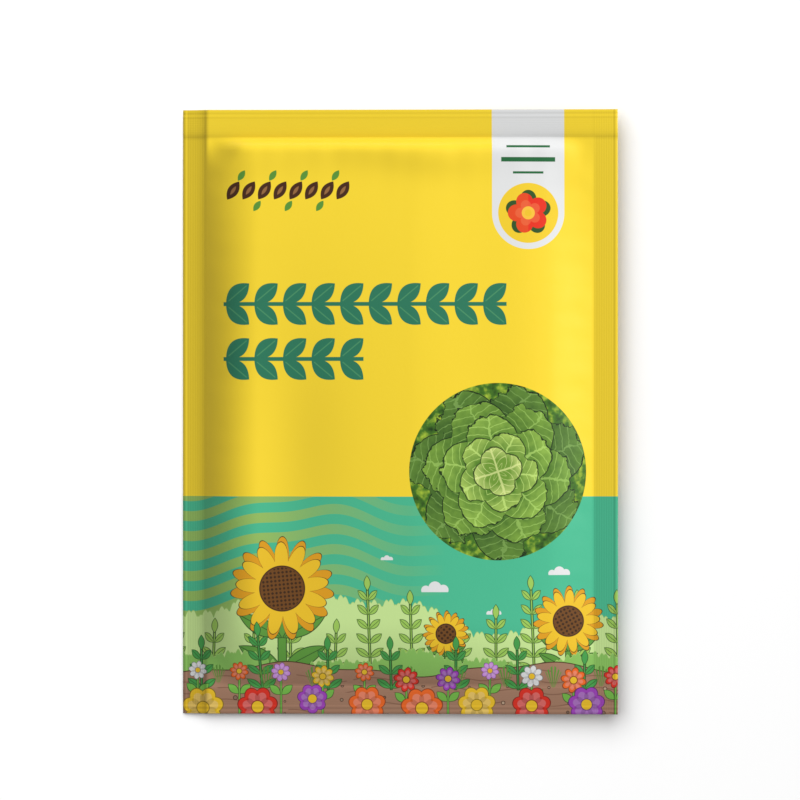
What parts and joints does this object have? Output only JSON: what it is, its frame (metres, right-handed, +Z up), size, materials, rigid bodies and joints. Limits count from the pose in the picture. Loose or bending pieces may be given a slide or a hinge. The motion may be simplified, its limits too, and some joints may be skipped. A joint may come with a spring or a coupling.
{
  "type": "seed packet",
  "caption": "Sealed flat film seed packet, pillow-shaped between ribbed heat-sealed margins, lying on its back and holding loose gourd seeds.",
  "frame": {"origin": "middle of the flat spot under the packet, where it rests on the surface", "axes": "+Z up out of the printed front, +Y towards the packet's top edge, +X across it to the right as the front is read"},
  "size_m": [0.1001, 0.1392, 0.0092],
  "materials": {
    "front_film": "satin printed laminate film",
    "back_film": "satin printed laminate film",
    "seed_coat": "smooth dark seed coat with a dull rim"
  },
  "bodies": {
    "root": {"front_film": "front_film", "back_film": "back_film", "seed_01": "seed_coat", "seed_02": "seed_coat", "seed_03": "seed_coat", "seed_04": "seed_coat", "seed_05": "seed_coat", "seed_06": "seed_coat", "seed_07": "seed_coat", "seed_08": "seed_coat", "seed_09": "seed_coat", "seed_10": "seed_coat", "seed_11": "seed_coat", "seed_12": "seed_coat"}
  },
  "joints": []
}
